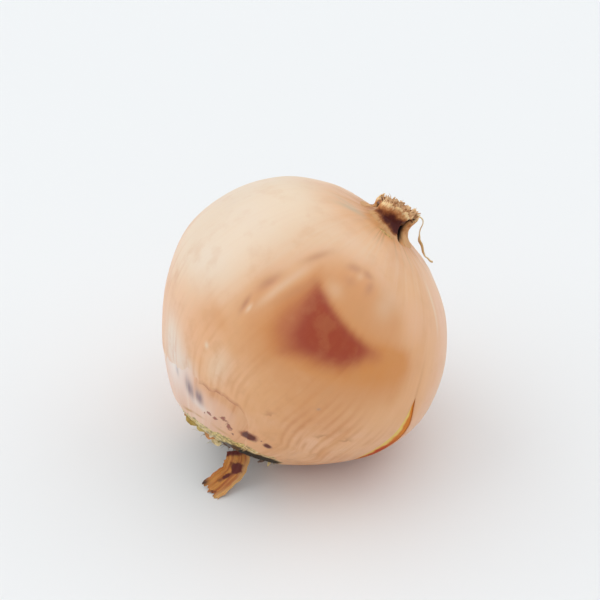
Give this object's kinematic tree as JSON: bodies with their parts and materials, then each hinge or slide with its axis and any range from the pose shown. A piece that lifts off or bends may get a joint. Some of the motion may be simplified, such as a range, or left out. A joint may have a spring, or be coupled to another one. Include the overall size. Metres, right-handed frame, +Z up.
{
  "type": "onion",
  "caption": "Whole onion with dry papery skin, resting on a small flat spot with its cut neck leaning up and its roots low on the other side.",
  "frame": {"origin": "middle of the small flat spot that the bulb rests on, on the table", "axes": "+Z up from the table; the neck leans up towards +X and a little towards +Y, and the roots point down towards -X; -Y is the side with the split skin and the torn patch"},
  "size_m": [0.0801, 0.0836, 0.0802],
  "materials": {
    "dry_skin": "satin",
    "dead_root": "matte",
    "torn_skin": "satin",
    "dry_leaf": "matte"
  },
  "bodies": {
    "root": {"bulb": "dry_skin", "root_plate": "dead_root", "skin_strip": "torn_skin", "leaf_ends": "dry_leaf"}
  },
  "joints": []
}
